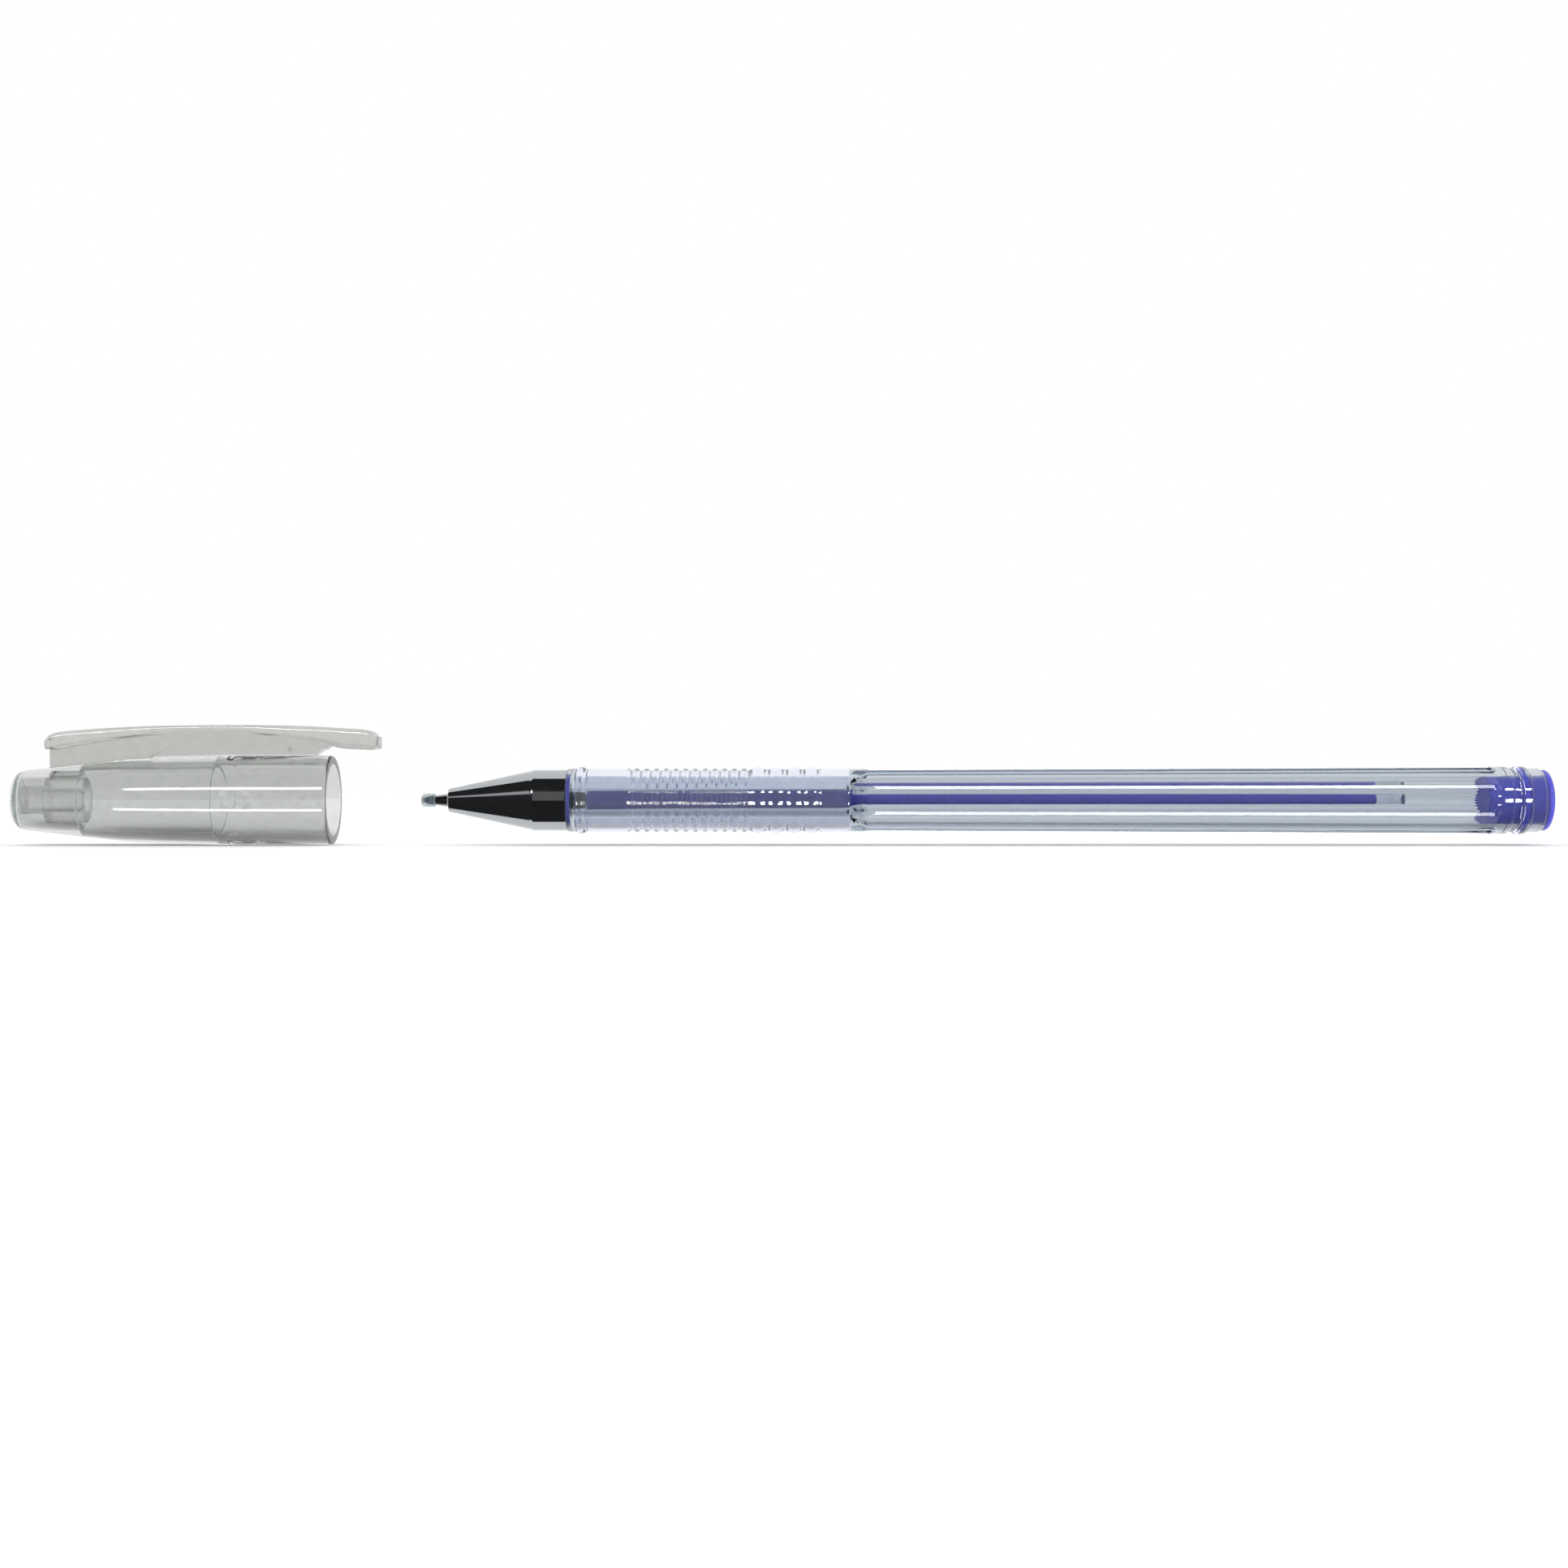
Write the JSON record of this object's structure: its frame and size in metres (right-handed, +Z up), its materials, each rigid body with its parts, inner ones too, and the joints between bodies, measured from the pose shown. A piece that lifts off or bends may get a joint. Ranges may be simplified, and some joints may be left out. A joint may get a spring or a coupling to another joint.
{
  "type": "gel pen",
  "caption": "Stick gel pen: clear faceted barrel, ribbed clear grip, bright nose cone, violet ink refill and end plug, and a clear pull-off cap with a pocket clip.",
  "frame": {"origin": "middle of the overall length, on the mid plane of the clip, level with the underside of the cap", "axes": "+X along the pen from the closed end of the cap to the end plug, +Y across, +Z up through the clip"},
  "size_m": [0.1884, 0.011, 0.0148],
  "materials": {
    "clear_plastic": "clear glossy moulded plastic",
    "soft_grip": "clear, slightly milky soft moulding with a satin surface",
    "chrome": "mirror-bright plated",
    "violet_plastic": "opaque glossy violet-blue",
    "steel": "fine turned",
    "seal_wax": "clear soft bead",
    "refill_plastic": "clear thin-walled tube",
    "violet_ink": "opaque violet-blue gel",
    "clear_grease": "clear wet gel",
    "frosted_plastic": "frosted, translucent"
  },
  "bodies": {
    "pen": {"barrel": "clear_plastic", "grip_sleeve": "soft_grip", "nose_cone": "chrome", "tip_holder": "violet_plastic", "writing_point": "steel", "refill_tube": "refill_plastic", "ink_column": "violet_ink", "follower": "clear_grease", "end_plug": "violet_plastic"},
    "rolling_ball": {"ball": "steel"},
    "seal_bead": {"tip_seal": "seal_wax"},
    "cap": {"cap_shell": "clear_plastic", "cap_liner": "frosted_plastic"},
    "clip": {"clip_arm": "clear_plastic"}
  },
  "joints": [
    {"name": "cap_slide", "type": "slide", "parent": "pen", "child": "cap", "axis": [1, 0, 0], "range_m": [0, 0.0441]},
    {"name": "clip_flex", "type": "hinge", "parent": "cap", "child": "clip", "pos_m": [-0.077, 0, 0.01462], "axis": [0, -1, 0], "range_deg": [0, 2.5], "stiffness_Nm_per_rad": 1},
    {"name": "ball_roll", "type": "hinge", "parent": "pen", "child": "rolling_ball", "pos_m": [-0.04395, 0, 0.0055], "axis": [0, 1, 0], "continuous": true},
    {"name": "seal_pull", "type": "slide", "parent": "pen", "child": "seal_bead", "axis": [-1, 0, 0], "range_m": [0, 0.003]}
  ]
}
